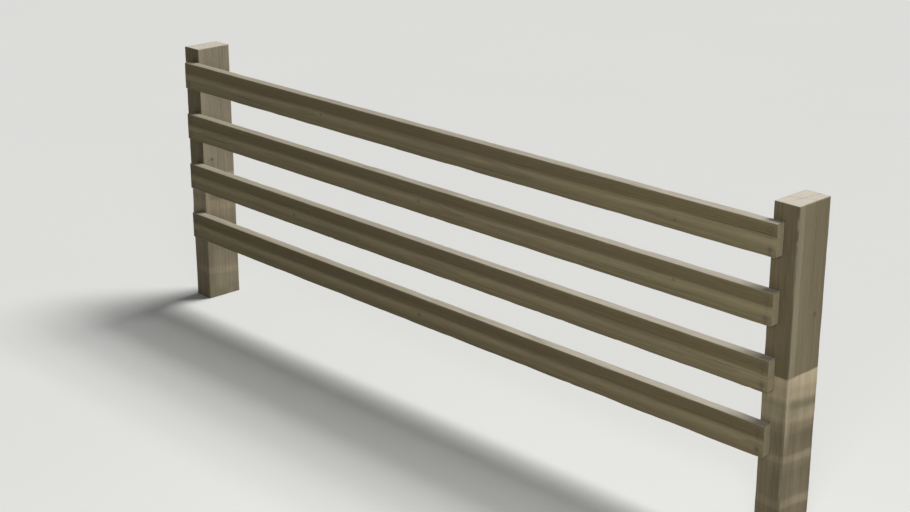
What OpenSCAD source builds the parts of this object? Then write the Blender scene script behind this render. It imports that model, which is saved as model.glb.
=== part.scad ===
// One bay of a four-rail post and rail fence, in sawn timber.
// Two upright posts stand on the ground and four level rails are nailed flat on their front faces.
// Each rail ends at the middle of a post, so that the next bay's rails can share the other half.
// The frame: +X runs along the fence, -Y is the railed front, +Z is up.
// The origin is the centre of the left post's foot, at ground level.

/* [Bay] */
// Distance between the centre lines of the two posts
bay_length = 3000; // [1800:10:3600]
// Height of the posts above the ground
post_height = 1100; // [900:10:1500]

/* [Posts] */
// Width of a post along the fence
post_width = 92; // [75:1:150]
// Depth of a post from front to back
post_depth = 160; // [75:1:200]
// Chamfer along the long edges and round the top of a post
post_chamfer = 3; // [1:0.5:6]

/* [Rails] */
// Height of a rail's section
rail_height = 108; // [75:1:125]
// Thickness of a rail's section
rail_thickness = 38; // [22:1:50]
// Chamfer along the long edges of a rail
rail_chamfer = 2.5; // [1:0.5:5]
// Open height between one rail and the next
rail_gap = 109.5; // [90:0.5:125]
// Height of the post's top above the top rail
post_above_rails = 55; // [30:1:80]
// Open joint left between a rail's end and the centre line of the post
rail_end_joint = 2; // [0.5:0.5:5]

/* [Hidden] */
RAILS = ["rail_top", "rail_upper", "rail_lower", "rail_bottom"];

// The rails are spaced down from the top of the post, one rail and one gap at a time.
rail_pitch = rail_height + rail_gap;
rail_length = bay_length - 2 * rail_end_joint;
// The posts' front faces, which the rails' backs lie on
post_front = -post_depth / 2;

function rail_underside(i) = post_height - post_above_rails - rail_height - i * rail_pitch;

// A rectangle with its four corners cut off at 45 degrees, centred on the origin
module chamfered_rectangle(width, depth, chamfer) {
    x = width / 2;
    y = depth / 2;
    polygon([
        [x - chamfer, -y], [x, -y + chamfer], [x, y - chamfer], [x - chamfer, y],
        [-x + chamfer, y], [-x, y - chamfer], [-x, -y + chamfer], [-x + chamfer, -y]
    ]);
}

// The top of a post is planed off at 45 degrees on all four edges.
// Two long prisms, one across and one along the fence, meet in the shape that stands below those planes.
module post() {
    color("#857a62")
    intersection() {
        linear_extrude(height = post_height)
            chamfered_rectangle(post_width, post_depth, post_chamfer);
        side_profile(post_width, post_depth);
        rotate([0, 0, 90]) side_profile(post_depth, post_width);
    }
}

// An upright of the given width, with its two top edges chamfered, and reaching past the given depth
module side_profile(width, depth) {
    x = width / 2;
    rotate([90, 0, 0])
    translate([0, 0, -depth])
    linear_extrude(height = 2 * depth)
        polygon([
            [-x, 0], [x, 0], [x, post_height - post_chamfer], [x - post_chamfer, post_height],
            [-x + post_chamfer, post_height], [-x, post_height - post_chamfer]
        ]);
}

// A rail lies on the posts' front faces, from the middle of one post to the middle of the next.
module rail(i) {
    color("#6b6248")
    translate([
        rail_end_joint,
        post_front - rail_thickness / 2,
        rail_underside(i) + rail_height / 2
    ])
    rotate([90, 0, 90])
    linear_extrude(height = rail_length)
        chamfered_rectangle(rail_thickness, rail_height, rail_chamfer);
}

post();  // post_left
translate([bay_length, 0, 0]) post();  // post_right
for (i = [0 : len(RAILS) - 1])
    rail(i);
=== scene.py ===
"""One bay of a four-rail post and rail fence, in weathered sawn softwood.

Each timber is one closed surface: a rounded section carried along the timber's length and over both sawn
ends. Drying checks, knots, rubbed arrises and hammer bruises are in the surface itself, and the finer grain is
in the materials. Lengths are in metres. +X runs along the fence, -Y is the railed front and +Z is up.
"""

import math
from dataclasses import dataclass, field

import bpy
import numpy as np
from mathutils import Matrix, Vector


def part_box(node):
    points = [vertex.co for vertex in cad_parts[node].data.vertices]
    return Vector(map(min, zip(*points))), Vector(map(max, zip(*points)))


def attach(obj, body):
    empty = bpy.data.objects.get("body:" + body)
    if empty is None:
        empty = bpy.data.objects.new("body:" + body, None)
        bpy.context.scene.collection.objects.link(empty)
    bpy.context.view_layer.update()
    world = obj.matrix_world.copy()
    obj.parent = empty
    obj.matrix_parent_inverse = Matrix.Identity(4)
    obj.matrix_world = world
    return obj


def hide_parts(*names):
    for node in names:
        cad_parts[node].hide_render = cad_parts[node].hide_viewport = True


bl_info = {
    "name": "Post and Rail Fence Bay",
    "version": (1, 0, 0),
    "blender": (4, 5, 0),
    "location": "3D View > Sidebar > Fence",
    "description": "Builds the timbers, nails and stage of one bay of a post and rail fence",
    "category": "Object",
}

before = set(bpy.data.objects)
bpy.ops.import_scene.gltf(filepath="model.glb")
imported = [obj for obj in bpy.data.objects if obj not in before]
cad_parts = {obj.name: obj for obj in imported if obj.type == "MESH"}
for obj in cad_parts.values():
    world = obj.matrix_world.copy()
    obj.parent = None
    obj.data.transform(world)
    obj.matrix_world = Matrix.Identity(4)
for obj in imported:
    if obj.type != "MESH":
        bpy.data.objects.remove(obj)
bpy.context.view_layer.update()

BODY = "root"
MM = 0.001

# Each post, and how far weather has bleached it, from 0 to 1
POSTS = {"post_left": 0.85, "post_right": 0.0}
RAILS = ("rail_top", "rail_upper", "rail_lower", "rail_bottom")

# The row axes that a timber's width, depth and length lie along
POST_AXES = (0, 1, 2)
RAIL_AXES = (1, 2, 0)

# The faces of a timber, in the order that its section is drawn: seen from its far end, anticlockwise
PLUS_A, PLUS_B, MINUS_A, MINUS_B = range(4)

# Where the heart of the tree lies from a timber's middle: along it, and across its width and its depth
POST_PITH = (0.0, 12 * MM, 30 * MM)
RAIL_PITH = (0.0, 52 * MM, -14 * MM)

# The width of one year's growth
RING_WIDTH = 4.6 * MM

# How many of its radii off a knot no longer shows
KNOT_REACH = 9.0

# The two shares of a post's height that the upper edge of the preservative dip fades between
DIP_EDGE = (0.497, 0.503)

# The kinds of those sockets of the shader groups that don't hold a number
SOCKET_KINDS = {"Position": "NodeSocketVector", "Pith": "NodeSocketVector", "Color": "NodeSocketColor"}


# --- Sizes and colours that a user would change ---


def metres(name, description, default):
    """A length that a user can set."""
    settings = {"min": 0.0, "precision": 5, "unit": "LENGTH", "subtype": "DISTANCE"}
    return bpy.props.FloatProperty(name=name, description=description, default=default, **settings)


def amount(name, description, default, subtype="NONE"):
    """A number that a user can set."""
    return bpy.props.FloatProperty(name=name, description=description, default=default, subtype=subtype)


def degrees(name, description, default):
    """An angle that a user can set, whose default is given in degrees."""
    return amount(name, description, math.radians(default), "ANGLE")


def triple(name, description, *default):
    """A place or a way that a user can set."""
    return bpy.props.FloatVectorProperty(name=name, description=description, default=default, subtype="XYZ")


def colour(name, description, *byte_values):
    """A colour that a user can set, whose default is given as the usual 0 to 255 values."""
    default = [scene_linear(value / 255) for value in byte_values]
    settings = {"min": 0.0, "max": 1.0, "subtype": "COLOR"}
    return bpy.props.FloatVectorProperty(name=name, description=description, default=default, **settings)


def scene_linear(value):
    """A screen value from 0 to 1 as linear light: the usual curve, with its straight foot below 0.04."""
    return value / 12.92 if value <= 0.04045 else ((value + 0.055) / 1.055) ** 2.4


class FenceTimberShape(bpy.types.PropertyGroup):
    """How the timbers are shaped and how finely they are drawn"""

    post_arris: metres("Post Arris", "Radius of a post's long edges", 4.0 * MM)
    rail_arris: metres("Rail Arris", "Radius of a rail's long edges", 2.6 * MM)
    end_arris: metres("End Arris", "Radius round a sawn end", 2.6 * MM)
    wear: metres("Wear", "Deepest rubbing along an arris", 0.9 * MM)
    chip: metres("Chip", "Depth of the chips knocked out of an arris", 1.5 * MM)
    unevenness: metres("Unevenness", "Height of the slow waves in a sawn face", 0.3 * MM)
    bow: metres("Bow", "How far a timber bends from straight in its middle", 1.2 * MM)
    post_pitch: metres("Post Pitch", "Spacing of the surface points on a post", 4.6 * MM)
    rail_pitch: metres("Rail Pitch", "Spacing of the surface points on a rail", 7.5 * MM)


class FenceColours(bpy.types.PropertyGroup):
    """The colours of the wood, its marks and the nails"""

    post_base: colour("Post", "Weathered side of a post", 110, 101, 78)
    post_pale: colour("Post Pale", "Paler wood along a post's front arris", 143, 134, 114)
    # Besides dark streaks, this colour paints the shade on a post's front
    post_dark: colour("Post Dark", "Dark streaks in a post and its shaded front", 85, 76, 55)
    rail_base: colour("Rail", "Weathered lower part of a rail's face", 101, 92, 67)
    rail_pale: colour("Rail Streak", "Pale streak along a rail's middle", 117, 107, 81)
    rail_dark: colour("Rail Dark", "Dark upper part of a rail's face", 87, 77, 53)
    bleached: colour("Bleached Top", "Rain-bleached top face of a rail", 134, 128, 115)
    post_end: colour("Post End", "Bleached end grain on a post's top", 158, 151, 139)
    rail_end: colour("Rail End", "End grain on a rail's end", 141, 131, 106)
    dip_line: colour("Dip Line", "Pale band where the preservative dip ends", 168, 154, 127)
    dip_pink: colour("Dip Band", "Soft pale bands further down", 153, 140, 115)
    dip_green: colour("Dip Green", "Grey-green band below the dip line", 112, 107, 83)
    # Partly rubbed wear, partly a painted edge highlight along the arrises
    rubbed: colour("Rubbed Edge And Highlight", "Rubbed wood along an arris", 140, 132, 110)
    knot: colour("Knot", "Heart of a knot", 78, 66, 46)
    check: colour("Check", "Inside a drying check", 44, 38, 29)
    iron_stain: colour("Iron Stain", "Stain round a nail", 66, 60, 48)
    algae: colour("Algae", "Thin green film near the ground", 92, 90, 64)
    zinc: colour("Zinc", "Dull coat of a nail", 96, 91, 82)
    rust: colour("Rust", "Rust on a nail", 84, 56, 38)


class FenceNailSizes(bpy.types.PropertyGroup):
    """The sizes and places of the nails"""

    head_radius: metres("Head Radius", "Radius of a nail's head", 4.8 * MM)
    head_rise: metres("Head Rise", "How far a head stands out of the rail", 1.1 * MM)
    from_end: metres("From End", "Distance from a nail to the rail's end", 22 * MM)
    spread: metres("Spread", "Distance from a nail to the rail's centre line", 31 * MM)


class FenceStage(bpy.types.PropertyGroup):
    """The camera, the floor and the light"""

    camera_place: triple("Camera Place", "Where the camera stands", 5.722, -4.031, 2.569)
    camera_heading: degrees("Camera Heading", "Turn from +Y towards -X", 46.29)
    camera_dip: degrees("Camera Dip", "Angle below the horizon", 19.15)
    lens: amount("Lens", "Focal length in millimetres", 66.27)
    floor_half: metres("Floor", "Half the side of the floor", 60.0)
    floor_tone: colour("Floor", "Pale floor", 176, 176, 174)
    key_way: triple("Key Way", "Way from the fence to the key light", 0.25, 0.9, 1.5)
    key_strength: amount("Key", "Strength of the key light", 5.4)
    key_spread: degrees("Key Spread", "Angle that the key light fills", 26)
    front_place: triple("Front Place", "Where the weak front lamp hangs", 4.5, -2.5, 1.9)
    front_aim: triple("Front Aim", "The point that the front lamp faces", 2.4, 0.0, 0.6)
    front_side: metres("Front Side", "Side of the square front lamp", 1.4)
    front_watts: amount("Front Lamp", "Power of the front lamp", 23.5)
    front_spread: degrees("Front Spread", "Angle of the front lamp's beam", 110)
    fill: amount("Fill", "Strength of the even light from all round", 0.21)
    backdrop: amount("Backdrop", "Brightness of the empty distance", 0.8)


# --- Shapes ---


@dataclass
class Check:
    """A drying check in one face: a narrow V that follows the grain and closes towards its ends."""

    face: int
    place: float
    start: float
    end: float
    width: float
    depth: float


@dataclass
class Knot:
    """A round knot that shows on both wide faces."""

    along: float
    across: float
    radius: float


@dataclass
class Timber:
    """One sawn timber: its name, its box, which way it lies, and its own marks."""

    name: str
    axes: tuple
    arris: float
    pitch: float
    seed: int
    checks: list = field(default_factory=list)
    knots: list = field(default_factory=list)
    nails: list = field(default_factory=list)

    def __post_init__(self):
        low, high = (np.array(corner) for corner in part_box(self.name))
        order = list(self.axes)
        self.centre = (low + high) / 2
        self.size_a, self.size_b, self.length = (high - low)[order]

    @property
    def wide_in_b(self):
        """Whether b runs across the wide faces, which the knots show on. If not, a does."""
        return self.size_b > self.size_a


def waves(positions, seed, wavelength, count=7):
    """Smooth random waviness from about -1 to 1: a sum of sine waves of nearly one wavelength, out of phase."""
    rng = np.random.default_rng(seed)
    lengths = wavelength * rng.uniform(0.55, 1.8, count)
    phases = rng.uniform(0, 2 * np.pi, count)
    angle = 2 * np.pi * positions[..., None] / lengths + phases
    return np.sin(angle).sum(axis=-1) / math.sqrt(count)


def smooth_step(values, low, high):
    """0 below low, 1 above high, and between them the S-curve 3t squared minus 2t cubed."""
    t = np.clip((values - low) / (high - low), 0, 1)
    return t * t * (3 - 2 * t)


def spread_points(low, high, pitch, centres, near, around):
    """Points from low to high a pitch apart, with a cluster at the near offsets round each centre instead."""
    points = np.linspace(low, high, max(2, int(round((high - low) / pitch)) + 1))
    inner = points[1:-1]
    for centre in centres:
        inner = inner[np.abs(inner - centre) > around]
    clusters = [centre + np.asarray(near) for centre in centres]
    extra = np.concatenate(clusters) if clusters else np.empty(0)
    extra = extra[(extra > low + 0.4 * MM) & (extra < high - 0.4 * MM)]
    points = np.unique(np.round(np.concatenate([points[:1], inner, extra, points[-1:]]), 6))
    keep = np.append(True, np.diff(points) > 0.25 * MM)
    return points[keep]


def section_columns(timber):
    """The points round a timber's section, anticlockwise: four straight faces joined by four quarter circles.

    Returns one row per column: place a and b, outward normal a and b, face number (-1 on a corner), and the
    place across the face."""
    half_a, half_b, radius = timber.size_a / 2, timber.size_b / 2, timber.arris
    check_offsets = np.array([-5, -2.6, -1.4, -0.7, 0, 0.7, 1.4, 2.6, 5]) * MM
    edge_offsets = np.array([1.4, 3.2, 6.0]) * MM
    corner_angles = np.radians([15, 33, 57, 75])
    columns = []
    faces = ((PLUS_A, 1, 0), (PLUS_B, 0, 1), (MINUS_A, -1, 0), (MINUS_B, 0, -1))
    for turn, (face, normal_a, normal_b) in enumerate(faces):
        half_run = (half_b if normal_a else half_a) - radius
        centres = [check.place for check in timber.checks if check.face == face]
        run = spread_points(-half_run, half_run, timber.pitch, centres, check_offsets, 5.5 * MM)
        edges = np.concatenate([-half_run + edge_offsets, half_run - edge_offsets])
        run = np.unique(np.concatenate([run, edges[[np.abs(run - edge).min() > 0.8 * MM for edge in edges]]]))
        if face in (PLUS_B, MINUS_A):
            run = run[::-1]
        across = np.full_like(run, half_a if normal_a else half_b) * (normal_a + normal_b)
        place_a, place_b = (across, run) if normal_a else (run, across)
        flat = np.ones_like(run)[:, None] * [normal_a, normal_b, face]
        columns.append(np.column_stack([place_a, place_b, flat, run]))
        angle = corner_angles + turn * np.pi / 2
        middle_a = (half_a - radius) * (1 if turn in (0, 3) else -1)
        middle_b = (half_b - radius) * (1 if turn in (0, 1) else -1)
        arc_a, arc_b = np.cos(angle), np.sin(angle)
        place_a, place_b = middle_a + radius * arc_a, middle_b + radius * arc_b
        columns.append(np.column_stack([place_a, place_b, arc_a, arc_b, np.full_like(angle, -1), 0 * angle]))
    return np.concatenate(columns)


def ring_rows(timber, end_arris):
    """The rings along a timber: from its near end's middle out to the edge, along its length, and in again.

    Returns each ring's place along the length, its share of the full section, and its inset round the end. The
    edge of an end is a quarter circle, and the rings lie closer together at the ends, knots and nails."""
    angles = np.radians([20, 45, 70, 90])
    rise, inset = end_arris * np.sin(angles), end_arris * (1 - np.cos(angles))
    shares = np.array([0.985, 0.96, 0.92, 0.86, 0.78, 0.69, 0.6, 0.5, 0.4, 0.3, 0.2, 0.1, 0.03])
    marks = [knot.along for knot in timber.knots] + [nail[0] for nail in timber.nails]
    near = np.arange(-24, 25, 3) * MM
    sides = spread_points(end_arris, timber.length - end_arris, timber.pitch, marks, near, 25 * MM)
    close = end_arris + np.array([1.5, 3.5, 6.0, 9.5, 14.0]) * MM
    sides = np.concatenate([sides, close, timber.length - close])
    sides = np.unique(np.round(sides, 6))
    sides = sides[np.append(True, np.diff(sides) > 0.6 * MM)]
    near_end = end_arris - rise
    place = np.concatenate(
        [0 * shares, near_end[::-1], sides, timber.length - near_end, timber.length + 0 * shares]
    )
    share = np.concatenate([shares[::-1], np.ones(2 * len(angles) + len(sides)), shares])
    rolled = np.concatenate([0 * shares + inset[-1], inset[::-1], 0 * sides, inset, 0 * shares + inset[-1]])
    return place, share, rolled


def arris_loss(timber, place, wear, chip):
    """How much wood is gone from each of the four arrises at each place along the length.

    Rubbing is a slow wave that keeps above 0.12 of the wear, and a chip is a bell curve at a random place."""
    rng = np.random.default_rng(timber.seed)
    loss = []
    for corner in range(4):
        rubbed = wear * np.clip(0.35 + 0.65 * waves(place, timber.seed + 11 * corner, 0.22), 0.12, None)
        count = int(round(timber.length * 3))
        centres = rng.uniform(0.02, timber.length - 0.02, count)
        half_widths = rng.uniform(7, 22, count) * MM
        depths = chip * rng.uniform(0.15, 1.0, count) ** 2
        bells = depths * np.exp(-(((place[:, None] - centres) / half_widths) ** 2))
        loss.append(rubbed + bells.sum(axis=1))
    return np.stack(loss, axis=1)


def checks_in(timber, along, face, across, share):
    """How far the checks draw each point across its face, and how deep each point lies in a check.

    Each check wavers together with the columns beside it, and less near an arris. Its width is half a sine wave
    raised to 0.6 and made a little ragged, and its depth falls evenly from its middle to its sides."""
    slide, opened = np.zeros_like(along), np.zeros_like(along)
    for number, check in enumerate(timber.checks):
        mine = (face == check.face) * 1.0
        half_face = (timber.size_b if check.face in (PLUS_A, MINUS_A) else timber.size_a) / 2
        offset = across - check.place
        shift = 2.5 * MM * waves(along, timber.seed + 71 + number, 0.35)
        edge_room = smooth_step(half_face - np.abs(across), 2 * MM, 10 * MM)
        slide += shift * np.exp(-((offset / (14 * MM)) ** 2)) * mine * edge_room
        run = np.clip((along - check.start) / (check.end - check.start), 0, 1)
        ragged = 0.8 + 0.2 * waves(along, timber.seed + 91 + number, 0.05)
        half_width = check.width / 2 * np.sin(np.pi * run) ** 0.6 * ragged
        reach = np.clip(1 - np.abs(offset) * share / np.maximum(half_width, 1e-6), 0, 1)
        opened = np.maximum(opened, reach * (half_width / (check.width / 2)) * check.depth * mine)
    return slide, opened


def knots_in(timber, along, a, b):
    """How far the grain parts at each point, how many radii off the nearest knot is, and the swelling there.

    The grain parts round a knot like water round a pile, and swells a little beside it."""
    detour, swelling = np.zeros_like(along), np.zeros_like(along)
    nearest = np.full_like(along, KNOT_REACH)
    for knot in timber.knots:
        run, rise = along - knot.along, (b if timber.wide_in_b else a) - knot.across
        detour -= rise * knot.radius**2 / np.maximum((run / 2.6) ** 2 + rise**2, knot.radius**2)
        reach = np.hypot(run / 1.15, rise) / knot.radius
        nearest = np.minimum(nearest, reach)
        swelling += 0.7 * MM * np.exp(-(((reach - 1.3) / 0.7) ** 2))
    return detour, nearest, swelling


def nails_in(timber, along, b):
    """The bruise that each blow leaves in the front face, and the iron stain round each nail and below it."""
    bruise, stain = np.zeros_like(along), np.zeros_like(along)
    for nail_along, nail_across in timber.nails:
        run, rise = along - nail_along, b - nail_across
        from_nail = run**2 + rise**2
        bruise += 0.7 * MM * np.exp(-from_nail / (7.5 * MM) ** 2)
        halo = np.exp(-from_nail / (9 * MM) ** 2)
        weep = np.exp(-((run / (4 * MM)) ** 2)) * smooth_step(-rise, -2 * MM, 4 * MM)
        weep = weep * (1 - smooth_step(-rise, 10 * MM, 42 * MM))
        stain = np.maximum(stain, np.maximum(halo, 0.7 * weep))
    return bruise, stain


def cut_ends(timber, along, a, b, share, opened, tilts):
    """The place along the timber, with its two saw cuts tilted a little and the checks opened in them too."""
    for end, (tilt_a, tilt_b) in zip((-1, 1), tilts):
        from_end = along if end < 0 else timber.length - along
        along = along + np.exp(-from_end / (30 * MM)) * (a * tilt_a + b * tilt_b)
        in_cap = (share < 1) & (from_end < timber.length / 2)
        along = along - end * in_cap * opened * 1.6 * smooth_step(share, 0.15, 0.8)
    return along


def timber_surface(timber, shape):
    """The whole skin of a timber as a grid of rings by columns, and the values that its material reads.

    These move a point of the section: the waver of the checks across the face, the slow waves of the sawn face,
    the swelling at the knots, the bruises at the nails, the V of each check, the loss at the arrises, the tilt
    of the saw cuts, and last the bow of the whole length."""
    place, share, inset = ring_rows(timber, shape.end_arris)
    share, inset = share[:, None], inset[:, None]
    a, b, normal_a, normal_b, face, across = section_columns(timber).T[:, None, :]
    along = place[:, None] + 0 * a
    a, b, across = (value + 0 * along for value in (a, b, across))
    on_side = (share >= 1) + 0 * a

    slide, opened = checks_in(timber, along, face, across, share)
    face_in_b = np.isin(face, (PLUS_A, MINUS_A))
    a, b = a + slide * ~face_in_b, b + slide * face_in_b
    detour, from_knot, swelling = knots_in(timber, along, a, b)
    bruise, stain = nails_in(timber, along, b)
    on_wide = np.isin(face, (PLUS_A, MINUS_A) if timber.wide_in_b else (PLUS_B, MINUS_B))
    on_front = (face == MINUS_A) * on_side
    lift = shape.unevenness * waves(along + 3 * a - 2 * b, timber.seed + 5, 0.28)
    lift = lift + 0.4 * shape.unevenness * waves(along - 7 * b + 5 * a, timber.seed + 6, 0.07)
    lift = lift + on_wide * swelling - on_front * bruise

    gap = timber.size_a / 2 - np.abs(a) + timber.size_b / 2 - np.abs(b)
    arris = np.exp(-((gap / (4.5 * MM)) ** 2))
    corner = (a > 0) + 2 * (b > 0)
    loss = np.take_along_axis(arris_loss(timber, place, shape.wear, shape.chip), corner, axis=1)
    fade = on_side * smooth_step(np.minimum(along, timber.length - along), 0, 12 * MM)
    lost = loss * arris * fade / math.sqrt(2)
    outward = (lift - opened) * on_side - inset
    a = (a + normal_a * outward - np.sign(a) * lost) * share
    b = (b + normal_b * outward - np.sign(b) * lost) * share

    rng = np.random.default_rng(timber.seed + 3)
    along = cut_ends(timber, along, a, b, share, opened, rng.uniform(-0.008, 0.008, (2, 2)))
    # The bow is half a sine wave from end to end, and a rail bows more than a post.
    arch = shape.bow * np.sin(np.pi * np.clip(along / timber.length, 0, 1))
    bow_a, bow_b = rng.uniform(-1, 1), -rng.uniform(0.3, 1.0)
    a = a + arch * bow_a * (0.5 if timber.nails else 0.3)
    b = b + arch * bow_b * (1.0 if timber.nails else 0.3)

    deepest = max([check.depth for check in timber.checks], default=1.0)
    values = {
        "arris": arris * (0.55 + 0.45 * np.clip(loss / shape.wear, 0, 1.5) / 1.5),
        "open_check": np.clip(opened / deepest, 0, 1),
        "sawn_end": 1.0 - on_side,
        "detour": detour,
        "knot_reach": from_knot,
        "wide_face": on_wide + 0 * along,
        "iron_stain": on_front * stain,
    }
    return along, a, b, values


def closed_grid(points):
    """The vertices, corners and corner counts of a closed surface, from a grid of rings by columns.

    points has the shape rings, columns, 3. The columns close round, and a point in the middle of each end ring
    closes that end. The rings run so that outward is the columns' way times the rings' way."""
    rings, count = points.shape[:2]
    near, far = points[0].mean(axis=0), points[-1].mean(axis=0)
    vertices = np.concatenate([points.reshape(-1, 3), near[None], far[None]])
    index = np.arange(rings * count).reshape(rings, count)
    beside = np.roll(index, -1, axis=1)
    quads = np.stack([index[:-1], beside[:-1], beside[1:], index[1:]], axis=-1)
    near_cap = np.stack([np.full(count, rings * count), beside[0], index[0]], axis=-1)
    far_cap = np.stack([np.full(count, rings * count + 1), index[-1], beside[-1]], axis=-1)
    corners = np.concatenate([quads.ravel(), near_cap.ravel(), far_cap.ravel()])
    return vertices, corners, np.repeat([4, 3], [quads.size // 4, 2 * count])


def grids_mesh(name, grids):
    """One smooth mesh of one closed grid, or of several of the same size."""
    vertices, corners, counts = (np.stack(part) for part in zip(*map(closed_grid, grids)))
    corners = corners + np.arange(len(grids))[:, None] * vertices.shape[1]
    counts = counts.ravel()
    mesh = bpy.data.meshes.new(name)
    mesh.vertices.add(vertices.size // 3)
    mesh.vertices.foreach_set("co", vertices.astype(np.float32).ravel())
    mesh.loops.add(corners.size)
    mesh.loops.foreach_set("vertex_index", corners.astype(np.int32).ravel())
    mesh.polygons.add(len(counts))
    mesh.polygons.foreach_set("loop_start", (np.cumsum(counts) - counts).astype(np.int32))
    mesh.polygons.foreach_set("use_smooth", np.ones(len(counts), bool))
    mesh.update(calc_edges=True)
    mesh.validate()
    return mesh


def timber_mesh(timber, shape):
    """The timber's skin as a mesh in the row frame, with the values that its material reads."""
    along, a, b, values = timber_surface(timber, shape)
    points = np.zeros(along.shape + (3,))
    for axis, run in zip(timber.axes, (a, b, along - timber.length / 2)):
        points[..., axis] = run + timber.centre[axis]
    mesh = grids_mesh(timber.name + "_timber", [points])
    for key, grid in values.items():
        whole = np.append(grid, [grid[0].mean(), grid[-1].mean()])
        mesh.attributes.new(key, "FLOAT", "POINT").data.foreach_set("value", whole.astype(np.float32))
    return mesh


def nail_points(centre, radius, rise, lean, columns=28):
    """A nail's head as a grid: a flat dome with a rounded rim, and a short neck that goes into the wood.

    Going out from the middle, the height falls about as the square of the share of the radius. The rim is
    rounded, and the neck runs in and narrows a little. The head leans a little, by the two slopes in lean."""
    share = np.array([0.08, 0.3, 0.52, 0.72, 0.86, 0.94, 0.985, 1.0, 0.99, 0.93])
    dome = np.array([1.0, 0.97, 0.91, 0.82, 0.72, 0.62, 0.48, 0.25, -0.5, -1.4])
    angle = np.linspace(0, 2 * np.pi, columns, endpoint=False)
    out = radius * share[:, None]
    x, z = out * np.cos(angle), out * np.sin(angle)
    y = -(rise * dome[:, None] + x * lean[0] + z * lean[1])
    return np.stack([centre[0] + x, centre[1] + y, centre[2] + z], axis=-1)


def show(name, mesh, material):
    """Puts a mesh in the scene as an object at the origin."""
    mesh.materials.append(material)
    piece = bpy.data.objects.new(name, mesh)
    bpy.context.scene.collection.objects.link(piece)
    return piece


# --- Shader graphs ---


class Graph:
    """Short words for the nodes that the finishes use. A value is a number, a colour or a node's socket."""

    def __init__(self, tree):
        self.tree = tree

    def add(self, kind, inputs=None, **settings):
        """A node with its settings and inputs. An input is named, or numbered where names repeat."""
        made = self.tree.nodes.new(kind)
        for key, value in settings.items():
            setattr(made, key, value)
        for key, value in (inputs or {}).items():
            self.feed(made.inputs[key], value)
        return made

    def feed(self, socket, value):
        """Links a socket to another, or sets its value."""
        if isinstance(value, bpy.types.NodeSocket):
            self.tree.links.new(value, socket)
        elif socket.type == "RGBA" and len(value) == 3:
            socket.default_value = (*value, 1.0)
        else:
            socket.default_value = value

    def maths(self, operation, first, second=0.0, third=0.0):
        inputs = {0: first, 1: second, 2: third}
        return self.add("ShaderNodeMath", inputs, operation=operation).outputs[0]

    def times(self, first, second):
        return self.maths("MULTIPLY", first, second)

    def plus(self, first, second):
        return self.maths("ADD", first, second)

    def minus(self, first, second):
        return self.maths("SUBTRACT", first, second)

    def most(self, first, second):
        return self.maths("MAXIMUM", first, second)

    def distance(self, first, second):
        """How far off a place is that lies this far off in two ways at right angles."""
        return self.maths("SQRT", self.plus(self.times(first, first), self.times(second, second)))

    def step(self, value, low, high):
        """0 at low and 1 at high, with a smooth step between them."""
        inputs = {"Value": value, "From Min": low, "From Max": high}
        return self.add("ShaderNodeMapRange", inputs, interpolation_type="SMOOTHSTEP").outputs[0]

    def fall(self, value, low, high):
        """1 at low and 0 at high, with a smooth step between them."""
        return self.minus(1.0, self.step(value, low, high))

    def scale(self, value, low, high):
        """Spreads 0 to 1 over low to high."""
        return self.maths("MULTIPLY_ADD", value, high - low, low)

    def vector(self, operation, first, second):
        return self.add("ShaderNodeVectorMath", {0: first, 1: second}, operation=operation).outputs[0]

    def join(self, x, y, z):
        return self.add("ShaderNodeCombineXYZ", {"X": x, "Y": y, "Z": z}).outputs[0]

    def split(self, vector):
        return self.add("ShaderNodeSeparateXYZ", {"Vector": vector}).outputs[:]

    def noise(self, position, stretch, seed, detail=2.0, roughness=0.5):
        """Noise whose lumps are one over the stretch long, in metres, each way."""
        inputs = {"W": seed, "Scale": 1.0, "Detail": detail, "Roughness": roughness}
        inputs["Vector"] = self.vector("MULTIPLY", position, stretch)
        return self.add("ShaderNodeTexNoise", inputs, noise_dimensions="4D").outputs["Fac"]

    def blend(self, share, first, second):
        """A share of the second colour over the first."""
        return self.add("ShaderNodeMix", {0: share, 6: first, 7: second}, data_type="RGBA").outputs[2]

    def coats(self, face, *layers):
        """A colour under layers that are laid in turn, each given as its share and its own colour."""
        for share, tint in layers:
            face = self.blend(share, face, tint)
        return face

    def shaded(self, face, shade):
        """A colour made lighter or darker by a value round 1."""
        return self.vector("MULTIPLY", face, self.join(shade, shade, shade))

    def ramp(self, value, *stops):
        """A value read off a curve of (place, height) stops."""
        made = self.add("ShaderNodeValToRGB", {"Fac": value})
        made.color_ramp.interpolation = "EASE"
        points = made.color_ramp.elements
        while len(points) < len(stops):
            points.new(0.5)
        for point, (place, height) in zip(points, stops):
            point.position = place
            point.color = (height, height, height, 1.0)
        return self.add("ShaderNodeSeparateColor", {"Color": made.outputs["Color"]}).outputs[0]

    def attribute(self, name):
        return self.add("ShaderNodeAttribute", attribute_name=name).outputs["Fac"]

    def group(self, make_tree, **inputs):
        """A node of a shader group. Each of its inputs takes the value of its name in small letters."""
        made = self.add("ShaderNodeGroup", node_tree=make_tree())
        for socket in made.inputs:
            self.feed(socket, inputs[socket.name.lower()])
        return made.outputs


def shader_group(name, inputs, outputs):
    """Makes a shader node group, when it is first used, of a function of a graph and the input sockets.

    The function returns the outputs' values by name."""

    def wrap(build):
        def make_tree():
            if name in bpy.data.node_groups:
                return bpy.data.node_groups[name]
            tree = bpy.data.node_groups.new(name, "ShaderNodeTree")
            for way, keys in (("INPUT", inputs), ("OUTPUT", outputs)):
                for key in keys:
                    kind = SOCKET_KINDS.get(key, "NodeSocketFloat")
                    tree.interface.new_socket(key, in_out=way, socket_type=kind)
            graph = Graph(tree)
            entry = graph.add("NodeGroupInput")
            graph.add("NodeGroupOutput", build(graph, *[entry.outputs[key] for key in inputs]))
            return tree

        return make_tree

    return wrap


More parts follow.
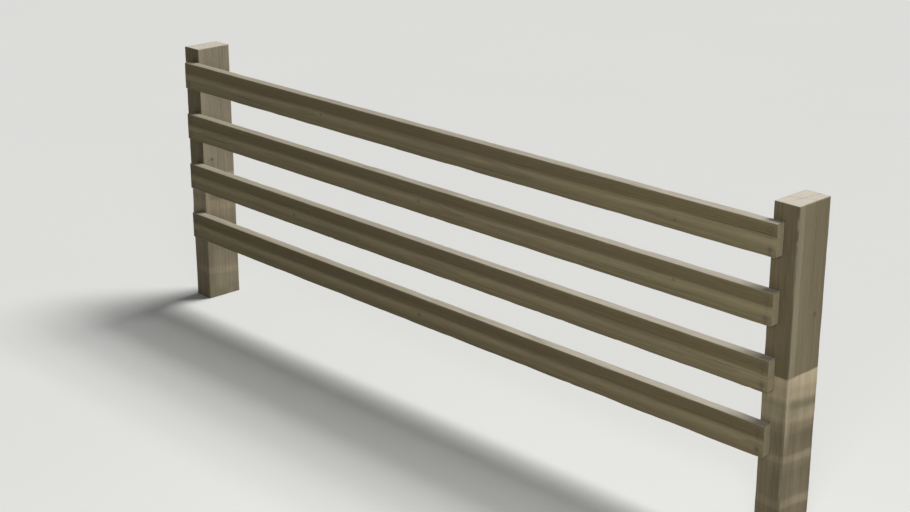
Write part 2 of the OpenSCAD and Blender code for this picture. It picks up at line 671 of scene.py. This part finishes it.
@shader_group("Growth Rings", ("Position", "Pith", "Seed"), ("Latewood", "Fibre", "Drift", "Hairlines"))
def growth_rings(g, position, pith, seed):
    """Grain all through a timber: rings round a wandering pith, fibres, slow drifts and hairline checks."""
    _, width, depth = g.split(position)
    _, pith_a, pith_b = g.split(pith)
    wander_a = g.noise(position, (0.8, 3.0, 3.0), seed)
    wander_b = g.noise(position, (0.6, 2.5, 2.5), g.plus(seed, 31.0), detail=1.0)
    off_a = g.plus(g.minus(width, pith_a), g.scale(wander_a, -10 * MM, 10 * MM))
    off_b = g.plus(g.minus(depth, pith_b), g.scale(wander_b, -10 * MM, 10 * MM))
    radius = g.distance(off_a, off_b)
    years = g.noise(g.join(radius, 0.0, 0.0), (90.0, 1.0, 1.0), seed, detail=1.0)
    year = g.maths("FRACT", g.plus(g.maths("DIVIDE", radius, RING_WIDTH), g.times(years, 2.4)))
    thin = g.noise(position, (4.0, 330.0, 330.0), g.plus(seed, 13.0), detail=1.0)
    patch = g.noise(position, (2.0, 22.0, 22.0), g.plus(seed, 17.0), detail=1.0)
    return {
        "Latewood": g.times(g.step(year, 0.35, 0.88), g.fall(year, 0.92, 1.0)),
        "Fibre": g.noise(position, (11.0, 620.0, 620.0), seed, detail=3.0, roughness=0.6),
        "Drift": g.noise(position, (1.3, 34.0, 34.0), g.plus(seed, 7.0), detail=3.0, roughness=0.55),
        "Hairlines": g.times(g.step(thin, 0.66, 0.74), g.step(patch, 0.42, 0.60)),
    }


@shader_group("Timber Tone", ("Color", "Latewood", "Fibre", "Drift", "Rings", "Streaks"), ("Color",))
def timber_tone(g, face, latewood, fibre, drift, rings, streaks):
    """Lays the grain over a face's own colour: darker latewood, and streaks of fibre and drift."""
    shade = g.plus(g.times(g.minus(fibre, 0.5), 0.80), g.times(g.minus(drift, 0.5), streaks))
    shade = g.minus(shade, g.times(latewood, rings))
    return {"Color": g.shaded(face, g.plus(1.06, shade))}


@shader_group("Board Bands", ("Position", "Share", "Seed"), ("Dark", "Pale"))
def board_bands(g, position, share, seed):
    """The broad bands along a rail's face: dark above the middle, a pale streak at it and plain wood below.

    Share is 0 at the lower arris and 1 at the upper, and the bands wander with the grain."""
    wander = g.noise(position, (0.5, 3.0, 3.0), seed, detail=1.0)
    place = g.plus(share, g.scale(wander, -0.03, 0.03))
    dark = g.ramp(
        place,
        *((0.0, 0.55), (0.07, 0.35), (0.14, 0.0), (0.49, 0.0)),
        *((0.56, 0.5), (0.63, 1.0), (0.84, 0.9), (1.0, 0.55)),
    )
    pale = g.ramp(
        place,
        *((0.0, 0.0), (0.14, 0.08), (0.26, 0.15), (0.35, 0.55)),
        *((0.42, 1.0), (0.49, 0.85), (0.57, 0.2), (0.63, 0.0)),
    )
    return {"Dark": dark, "Pale": pale}


@shader_group("Dip Marks", ("Position", "Level", "Seed"), ("Line", "Soft", "Green", "Ripple"))
def dip_marks(g, position, level, seed):
    """The level marks on a post's lower half, from the preservative dip: a sharp pale line, then soft bands.

    Level is the height as a share of the post. The bands sink a little from the front to the back."""
    depth = g.split(position)[2]
    waver = g.noise(position, (3.0, 9.0, 9.0), seed)
    below = g.fall(g.plus(level, g.scale(waver, -0.003, 0.003)), *DIP_EDGE)
    place = g.plus(g.plus(level, g.scale(waver, -0.008, 0.008)), g.times(depth, 0.12))
    line = g.ramp(
        place, (0.0, 0.0), (0.41, 0.0), (0.435, 0.70), (0.455, 0.66), (0.475, 0.92), (0.50, 1.0), (1.0, 1.0)
    )
    soft = g.ramp(
        place,
        *((0.0, 0.10), (0.088, 0.14), (0.098, 0.52), (0.110, 0.52), (0.130, 0.14)),
        *((0.200, 0.08), (0.228, 0.20), (0.238, 0.54), (0.250, 0.54), (0.264, 0.10)),
        *((0.310, 0.0), (0.345, 0.30), (0.368, 0.80), (0.388, 0.66), (0.405, 0.10), (1.0, 0.0)),
    )
    green = g.ramp(place, (0.0, 0.0), (0.385, 0.0), (0.400, 0.9), (0.412, 0.9), (0.430, 0.0), (1.0, 0.0))
    ripple = g.noise(position, (150.0, 5.0, 5.0), g.plus(seed, 3.0))
    back = g.scale(g.step(depth, -70 * MM, 50 * MM), 0.72, 1.15)
    return {
        "Line": g.times(below, line),
        "Soft": g.times(g.times(below, soft), back),
        "Green": g.times(below, green),
        "Ripple": g.times(below, g.minus(ripple, 0.5)),
    }


@shader_group("Sawn End", ("Position", "Pith", "Latewood", "Color", "Seed"), ("Color", "Height"))
def sawn_end(g, position, pith, latewood, face, seed):
    """Bleached end grain: strong rings, fine radial checks from the pith, and blotches of grey."""
    _, width, depth = g.split(position)
    _, pith_a, pith_b = g.split(pith)
    off_a, off_b = g.minus(width, pith_a), g.minus(depth, pith_b)
    turn = g.maths("ARCTAN2", off_b, off_a)
    rays = g.noise(g.join(turn, g.distance(off_a, off_b), 0.0), (26.0, 18.0, 1.0), seed)
    split = g.step(rays, 0.66, 0.74)
    blotch = g.noise(position, (60.0, 60.0, 60.0), seed, detail=3.0)
    shade = g.minus(g.scale(blotch, 0.86, 1.16), g.times(latewood, 0.16))
    return {
        "Color": g.shaded(face, g.minus(shade, g.times(split, 0.34))),
        "Height": g.minus(g.times(latewood, 0.25), g.times(split, 0.7)),
    }


@shader_group("Worn And Highlighted Arris", ("Position", "Arris", "Seed"), ("Amount",))
def worn_and_highlighted_arris(g, position, arris, seed):
    """Where an arris is paler, partly from rubbed wear and partly from a painted edge highlight: near the edge,
    and broken up along the fibres.
    """
    patches = g.noise(position, (14.0, 60.0, 60.0), seed, detail=3.0)
    return {"Amount": g.step(g.plus(arris, g.scale(patches, -0.42, 0.30)), 0.28, 0.82)}


@shader_group("Knot Wood", ("Reach", "Fibre", "Wide"), ("Amount", "Height"))
def knot_wood(g, reach, fibre, wide):
    """A knot: its own tight rings, a dark rim where the bark was, and a small star crack in the middle.

    Reach is how many of its radii off the knot's middle is, and Wide is 1 on the faces that it shows on."""
    own = g.maths("FRACT", g.times(g.plus(reach, fibre), 4.0))
    inside = g.fall(reach, 0.94, 1.08)
    rim = g.times(g.step(reach, 0.80, 0.98), g.fall(reach, 1.0, 1.22))
    halo = g.fall(reach, 1.0, 2.6)
    heart = g.fall(g.plus(reach, g.times(fibre, 0.2)), 0.15, 0.35)
    amount = g.most(g.times(inside, g.scale(own, 0.42, 0.72)), g.times(rim, 0.85))
    amount = g.most(g.most(amount, g.times(heart, 0.8)), g.times(halo, 0.12))
    height = g.minus(g.times(inside, 0.3), g.plus(g.times(rim, 0.6), heart))
    return {"Amount": g.times(amount, wide), "Height": g.times(height, wide)}


@shader_group("Sawn Relief", ("Position", "Latewood", "Fibre", "Seed"), ("Height",))
def sawn_relief(g, position, latewood, fibre, seed):
    """The height of a sawn and weathered face in millimetres: proud latewood, open fibres and saw marks."""
    run, width, depth = g.split(position)
    lean = g.plus(run, g.times(g.plus(width, depth), 0.12))
    jitter = g.noise(position, (40.0, 9.0, 9.0), seed, detail=1.0)
    saw = g.maths("SINE", g.plus(g.times(lean, 1650.0), g.times(jitter, 14.0)))
    patch = g.noise(position, (5.0, 16.0, 16.0), g.plus(seed, 19.0))
    saw = g.times(g.times(saw, g.step(patch, 0.42, 0.62)), 0.045)
    grain = g.plus(g.times(latewood, 0.20), g.times(fibre, 0.55))
    return {"Height": g.plus(grain, saw)}


# --- Finishes ---


def new_material(name):
    """An empty material, its graph and its Principled shader."""
    material = bpy.data.materials.new(name)
    material.use_nodes = True
    material.node_tree.nodes.clear()
    graph = Graph(material.node_tree)
    shader = graph.add("ShaderNodeBsdfPrincipled")
    graph.add("ShaderNodeOutputMaterial", {"Surface": shader.outputs[0]})
    return material, graph, shader


def darker(tint, share):
    """A share of a colour's light."""
    return [value * share for value in tint]


def timber_space(g, timber):
    """The place in the timber: along it, and across its width and depth, from its middle.

    The detour of the grain round the knots is added across the wide faces, so every pattern parts there."""
    from_centre = g.vector("SUBTRACT", g.add("ShaderNodeTexCoord").outputs["Object"], timber.centre)
    row = g.split(from_centre)
    a, b, along = (row[axis] for axis in timber.axes)
    detour = g.attribute("detour")
    if timber.wide_in_b:
        return g.join(along, a, g.plus(b, detour)), along, a, b
    return g.join(along, g.plus(a, detour), b), along, a, b


def finish_timber(g, shader, face, end, colours, wood):
    """What posts and rails share: grain, knots, rubbed arrises with a painted edge highlight, sawn ends, open
    checks, stains and relief.

    wood holds the values that the groups of the grain take: position, pith, seed, rings and streaks."""
    grain = g.group(growth_rings, **wood)
    late, fibre, hairlines = grain["Latewood"], grain["Fibre"], grain["Hairlines"]
    wood = {**wood, "latewood": late, "fibre": fibre, "drift": grain["Drift"]}
    toned = g.group(timber_tone, color=face, **wood)["Color"]
    # Paler arrises: rubbed wear with a painted edge highlight
    arris = g.group(worn_and_highlighted_arris, arris=g.attribute("arris"), **wood)["Amount"]
    knot = g.group(knot_wood, reach=g.attribute("knot_reach"), wide=g.attribute("wide_face"), **wood)
    cut = g.group(sawn_end, color=end, **wood)
    on_end = g.step(g.attribute("sawn_end"), 0.3, 0.7)
    opened = g.step(g.attribute("open_check"), 0.02, 0.5)
    toned = g.coats(
        toned,
        (g.times(hairlines, 0.42), colours.check),
        (g.times(arris, 0.5), colours.rubbed),
        (knot["Amount"], colours.knot),
        (on_end, cut["Color"]),
        (g.times(g.attribute("iron_stain"), g.scale(fibre, 0.35, 0.95)), colours.iron_stain),
        (g.times(opened, 0.9), colours.check),
    )
    g.feed(shader.inputs["Base Color"], toned)
    rough = g.plus(g.scale(fibre, 0.70, 0.92), g.times(late, -0.06))
    g.feed(shader.inputs["Roughness"], g.plus(rough, g.times(opened, 0.1)))
    g.feed(shader.inputs["Specular IOR Level"], 0.25)
    height = g.minus(g.plus(g.group(sawn_relief, **wood)["Height"], knot["Height"]), g.times(hairlines, 0.35))
    end_height = g.plus(cut["Height"], g.times(fibre, 0.1))
    height = g.add("ShaderNodeMix", {0: on_end, 2: height, 3: end_height}).outputs[0]
    bump = g.add("ShaderNodeBump", {"Strength": 1.0, "Distance": MM, "Height": height})
    g.feed(shader.inputs["Normal"], bump.outputs[0])


def rail_material(timber, colours):
    """A rail: broad bands along its face, dark above a pale middle streak, and a bleached top with painted
    light rising to the right.
    """
    material, g, shader = new_material(timber.name + " weathered timber")
    seed, half_height = float(timber.seed), timber.size_b / 2
    position, along, _, b = timber_space(g, timber)
    share = g.plus(g.maths("DIVIDE", g.plus(b, g.attribute("detour")), timber.size_b), 0.5)
    bands = g.group(board_bands, position=position, share=share, seed=seed)
    # Rain bleaches the top face. Its rise towards the right-hand end is painted light, for light growing
    # towards that end.
    top = g.step(b, half_height - 3 * MM, half_height - 0.6 * MM)
    paleness = g.scale(g.step(along, -1.4, 1.2), 0.62, 1.0)
    face = g.coats(
        colours.rail_base,
        (bands["Dark"], colours.rail_dark),
        (bands["Pale"], colours.rail_pale),
        (g.times(top, paleness), colours.bleached),
    )
    wood = {"position": position, "pith": RAIL_PITH, "seed": seed, "rings": 0.17, "streaks": 0.52}
    finish_timber(g, shader, face, colours.rail_end, colours, wood)
    return material


def post_material(timber, colours, paleness):
    """A post: streaked upright grain, a paler strip at the front arris of each side, and level dip marks."""
    material, g, shader = new_material(timber.name + " weathered timber")
    seed, half_depth = float(timber.seed), timber.size_b / 2
    position, along, a, b = timber_space(g, timber)
    streak = g.noise(position, (0.8, 42.0, 42.0), seed + 3)
    waver = g.noise(position, (4.0, 8.0, 8.0), seed + 5)
    level = g.plus(g.maths("DIVIDE", along, timber.length), 0.5)
    above = g.step(level, *DIP_EDGE)
    below = g.minus(1.0, above)
    on_front = g.fall(b, 1.5 * MM - half_depth, 5 * MM - half_depth)
    off_front = g.minus(1.0, on_front)
    strip = g.fall(g.plus(b, g.scale(waver, -6 * MM, 6 * MM)), -54 * MM, -42 * MM)
    by_arris = g.times(g.step(a, -4 * MM, 14 * MM), g.scale(waver, 0.30, 0.52))
    rim = g.fall(g.plus(b, g.scale(waver, -3 * MM, 3 * MM)), -72 * MM, -44 * MM)
    rim = g.times(g.times(rim, off_front), g.times(below, g.step(level, 0.24, 0.38)))
    marks = g.group(dip_marks, position=position, level=level, seed=seed)
    marked = g.scale(on_front, 1.0, 0.52)
    face = g.coats(
        colours.post_base,
        # Dark streaks, and bleaching that is strongest above the dip
        (g.times(g.step(streak, 0.50, 0.68), 0.35), colours.post_dark),
        (g.times(g.scale(above, 0.62, 1.0), paleness), colours.post_pale),
        # The paler strip behind the front arris, and the darker back of each side
        (g.times(strip, g.scale(above, 0.08, 0.32 + 0.60 * paleness)), colours.post_pale),
        (g.times(g.step(b, 20 * MM, 60 * MM), 0.28 - 0.3 * paleness), colours.post_dark),
        # Painted shade on the front, then the front's darker right side, the duller sides below the dip, and
        # the strip's foot
        (g.times(on_front, g.scale(above, 0.42, 0.95)), colours.post_dark),
        (g.times(g.times(below, off_front), 0.36 - 0.36 * paleness), colours.post_dark),
        (g.times(g.times(strip, g.fall(level, 0.14, 0.34)), 0.4), colours.post_dark),
        (g.times(on_front, by_arris), darker(colours.post_dark, 0.82)),
        # The dip's marks, the pale ones fainter on the front, and below them a pale rim behind the front arris
        (g.times(marks["Green"], 0.6), colours.dip_green),
        (g.times(marks["Soft"], marked), colours.dip_pink),
        (g.times(marks["Line"], marked), colours.dip_line),
        (g.times(rim, 0.75), colours.dip_pink),
    )
    face = g.shaded(face, g.plus(1.0, g.times(marks["Ripple"], 0.22)))
    # A thin green film where the ground's damp reaches
    film = g.noise(position, (14.0, 22.0, 22.0), seed + 9, detail=3.0)
    damp = g.times(g.fall(level, 0.0, 0.09), g.step(film, 0.35, 0.7))
    face = g.blend(g.times(damp, 0.5), face, colours.algae)
    wood = {"position": position, "pith": POST_PITH, "seed": seed, "rings": 0.14, "streaks": 0.50}
    finish_timber(g, shader, face, colours.post_end, colours, wood)
    return material


def nail_material(colours):
    """A nail's dull zinc coat, with rust specks over it."""
    material, g, shader = new_material("weathered zinc nail")
    place = g.add("ShaderNodeTexCoord").outputs["Object"]
    mottle = g.noise(place, (900.0, 900.0, 900.0), 2.0, detail=3.0)
    specks = g.step(g.noise(place, (420.0, 420.0, 420.0), 5.0, detail=4.0, roughness=0.65), 0.50, 0.62)
    face = g.blend(g.step(mottle, 0.35, 0.7), colours.zinc, darker(colours.zinc, 0.62))
    g.feed(shader.inputs["Base Color"], g.blend(g.times(specks, 0.85), face, colours.rust))
    g.feed(shader.inputs["Metallic"], g.scale(specks, 0.5, 0.05))
    g.feed(shader.inputs["Roughness"], g.scale(g.most(mottle, specks), 0.45, 0.85))
    bump = g.add("ShaderNodeBump", {"Strength": 0.6, "Distance": 0.3 * MM, "Height": g.plus(mottle, specks)})
    g.feed(shader.inputs["Normal"], bump.outputs[0])
    return material


# --- The marks of each timber ---


def post_timber(name, shape):
    """A post with its checks and knots. Places along a post are heights above the ground."""
    left = name == "post_left"
    timber = Timber(name, POST_AXES, shape.post_arris, shape.post_pitch, 21 if left else 34)
    top = timber.length + 0.25
    timber.checks = [
        Check(PLUS_A, (22 if left else 12) * MM, 0.66, top, 1.5 * MM, 4 * MM),
        Check(PLUS_A, -26 * MM, 0.20, 0.58, 1.3 * MM, 3 * MM),
        Check(MINUS_A, -12 * MM, 0.45, top, 2.8 * MM, 8 * MM),
        Check(MINUS_A, 34 * MM, 0.05, 0.52, 1.8 * MM, 4 * MM),
        Check(PLUS_B, 6 * MM, 0.30, top, 3.2 * MM, 9 * MM),
        Check(MINUS_B, -16 * MM, 0.70, top, 2.0 * MM, 5 * MM),
        Check(MINUS_B, 20 * MM, 0.06, 0.42, 1.8 * MM, 4 * MM),
    ]
    timber.knots = [Knot(0.62, -34 * MM, 6 * MM)] if left else [Knot(0.735, 38 * MM, 6 * MM)]
    return timber


def rail_timber(name, shape, nails):
    """A rail with its checks, knots and nails. Places along a rail are from its left end."""
    number = RAILS.index(name)
    timber = Timber(name, RAIL_AXES, shape.rail_arris, shape.rail_pitch, 50 + 13 * number)
    rng = np.random.default_rng(timber.seed)
    beyond = timber.length + 0.2
    middle = rng.uniform(0.7, 1.9)
    split = rng.uniform(0.12, 0.4)
    start, end = (-0.1, split) if number % 2 else (timber.length - split, beyond)
    timber.checks = [
        Check(MINUS_A, (12, -20, -6, 26)[number] * MM, start, end, 1.3 * MM, 4 * MM),
        Check(MINUS_A, rng.uniform(-40, -26) * MM, middle, middle + rng.uniform(0.3, 0.6), 1.2 * MM, 3 * MM),
        Check(PLUS_A, rng.uniform(-8, 8) * MM, -0.15, rng.uniform(0.35, 0.6), 1.8 * MM, 5 * MM),
        Check(PLUS_B, rng.uniform(-5, 5) * MM, *rng.uniform((1.1, 2.1), (1.6, 2.5)), 1.2 * MM, 3 * MM),
    ]
    places = rng.uniform(0.25, timber.length - 0.35, 2)
    timber.knots = [Knot(place, rng.uniform(-30, 34) * MM, rng.uniform(3.5, 6) * MM) for place in places]
    spread = (-nails.spread, nails.spread)
    ends = (nails.from_end, timber.length - nails.from_end)
    timber.nails = [
        (end + rng.uniform(-2, 2) * MM, side + rng.uniform(-3, 3) * MM) for end in ends for side in spread
    ]
    return timber


# --- Operators ---


def place_timber(timber, shape, material):
    """Shows a timber in place of its CAD node."""
    piece = show(timber.name + "_timber", timber_mesh(timber, shape), material)
    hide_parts(timber.name)
    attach(piece, BODY)


class FENCE_OT_posts(bpy.types.Operator):
    """Build the two posts"""

    bl_idname = "fence.posts"
    bl_label = "Posts"

    def execute(self, context):
        shape, colours = context.scene.fence_shape, context.scene.fence_colours
        for name, paleness in POSTS.items():
            timber = post_timber(name, shape)
            place_timber(timber, shape, post_material(timber, colours, paleness))
        return {"FINISHED"}


class FENCE_OT_rails(bpy.types.Operator):
    """Build the four rails"""

    bl_idname = "fence.rails"
    bl_label = "Rails"

    def execute(self, context):
        scene = context.scene
        for name in RAILS:
            timber = rail_timber(name, scene.fence_shape, scene.fence_nails)
            material = rail_material(timber, scene.fence_colours)
            place_timber(timber, scene.fence_shape, material)
        return {"FINISHED"}


class FENCE_OT_nails(bpy.types.Operator):
    """Drive two nails through each end of each rail"""

    bl_idname = "fence.nails"
    bl_label = "Nails"

    def execute(self, context):
        sizes, shape = context.scene.fence_nails, context.scene.fence_shape
        material = nail_material(context.scene.fence_colours)
        rng = np.random.default_rng(8)
        heads = {"left": [], "right": []}
        for name in RAILS:
            timber = rail_timber(name, shape, sizes)
            low = timber.centre - np.array([timber.length, timber.size_a, 0]) / 2
            for along, across in timber.nails:
                centre = (low[0] + along, low[1], timber.centre[2] + across)
                radius = sizes.head_radius * rng.uniform(0.95, 1.05)
                rise = sizes.head_rise * rng.uniform(0.45, 1.0)
                side = "left" if along < timber.length / 2 else "right"
                heads[side].append(nail_points(centre, radius, rise, rng.uniform(-0.06, 0.06, 2)))
        for side, grids in heads.items():
            piece = show(f"nail_heads_{side}", grids_mesh(f"nail_heads_{side}", grids), material)
            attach(piece, BODY)
        return {"FINISHED"}


class FENCE_OT_stage(bpy.types.Operator):
    """Lay the floor, hang the lamps and set up the camera"""

    bl_idname = "fence.stage"
    bl_label = "Stage"

    def execute(self, context):
        stage = context.scene.fence_stage
        lay_floor(stage)
        light_world(context.scene, stage)
        key = hang_lamp("key light", "SUN", stage.key_way, (0, 0, 0), stage.key_strength)
        key.angle = stage.key_spread
        front = hang_lamp("front lamp", "AREA", stage.front_place, stage.front_aim, stage.front_watts)
        front.spread, front.size = stage.front_spread, stage.front_side
        camera = bpy.data.objects.new("camera", bpy.data.cameras.new("camera"))
        camera.data.lens = stage.lens
        camera.location = stage.camera_place
        camera.rotation_euler = (math.pi / 2 - stage.camera_dip, 0, stage.camera_heading)
        context.scene.collection.objects.link(camera)
        context.scene.camera = camera
        context.scene.view_settings.view_transform = "Standard"
        return {"FINISHED"}


def lay_floor(stage):
    """A plain pale floor at ground level."""
    material, g, shader = new_material("pale floor")
    place = g.add("ShaderNodeTexCoord").outputs["Object"]
    cloud = g.noise(place, (0.7, 0.7, 0.7), 1.0)
    g.feed(shader.inputs["Base Color"], g.blend(cloud, stage.floor_tone, darker(stage.floor_tone, 0.97)))
    g.feed(shader.inputs["Roughness"], 1.0)
    g.feed(shader.inputs["Specular IOR Level"], 0.0)
    half = stage.floor_half
    mesh = bpy.data.meshes.new("floor")
    corners = [(-half, -half, 0), (half, -half, 0), (half, half, 0), (-half, half, 0)]
    mesh.from_pydata(corners, [], [(0, 1, 2, 3)])
    floor = show("floor", mesh, material)


def light_world(scene, stage):
    """Even fill light from all round, and a pale distance where the camera or a gloss sees past the floor."""
    world = bpy.data.worlds.new("soft surround")
    world.use_nodes = True
    world.node_tree.nodes.clear()
    g = Graph(world.node_tree)
    path = g.add("ShaderNodeLightPath").outputs
    seen = g.most(path["Is Camera Ray"], path["Is Glossy Ray"])
    strength = g.scale(seen, stage.fill, stage.backdrop)
    sky = g.add("ShaderNodeBackground", {"Color": (1.0, 1.0, 1.0), "Strength": strength})
    g.add("ShaderNodeOutputWorld", {"Surface": sky.outputs[0]})
    scene.world = world


def hang_lamp(name, kind, place, target, strength):
    """A lamp that faces a point and that the camera does not see. Returns its light."""
    lamp = bpy.data.objects.new(name, bpy.data.lights.new(name, kind))
    lamp.data.energy = strength
    lamp.location = place
    lamp.rotation_euler = (Vector(place) - Vector(target)).to_track_quat("Z", "Y").to_euler()
    lamp.visible_camera = False
    bpy.context.scene.collection.objects.link(lamp)
    return lamp.data


class FENCE_PT_bay(bpy.types.Panel):
    """The builders and all the settings in the sidebar"""

    bl_idname = "FENCE_PT_bay"
    bl_label = "Fence Bay"
    bl_space_type = "VIEW_3D"
    bl_region_type = "UI"
    bl_category = "Fence"

    def draw(self, context):
        for operator in OPERATORS:
            self.layout.operator(operator.bl_idname)
        for settings in SETTINGS:
            box = self.layout.box()
            group = getattr(context.scene, settings)
            for key in group.__annotations__:
                box.prop(group, key)


SETTINGS = {
    "fence_shape": FenceTimberShape,
    "fence_colours": FenceColours,
    "fence_nails": FenceNailSizes,
    "fence_stage": FenceStage,
}
OPERATORS = (FENCE_OT_posts, FENCE_OT_rails, FENCE_OT_nails, FENCE_OT_stage)


def register():
    """Makes the add-on's classes and settings known to Blender."""
    for made in (*SETTINGS.values(), *OPERATORS, FENCE_PT_bay):
        bpy.utils.register_class(made)
    for name, group in SETTINGS.items():
        setattr(bpy.types.Scene, name, bpy.props.PointerProperty(type=group))


def unregister():
    """Takes the settings and the classes out again."""
    for name in SETTINGS:
        delattr(bpy.types.Scene, name)
    for made in (FENCE_PT_bay, *reversed(OPERATORS), *SETTINGS.values()):
        bpy.utils.unregister_class(made)


def main():
    """Builds the whole bay on its stage."""
    register()
    bpy.ops.fence.posts()
    bpy.ops.fence.rails()
    bpy.ops.fence.nails()
    bpy.ops.fence.stage()


if __name__ == "__main__":
    main()
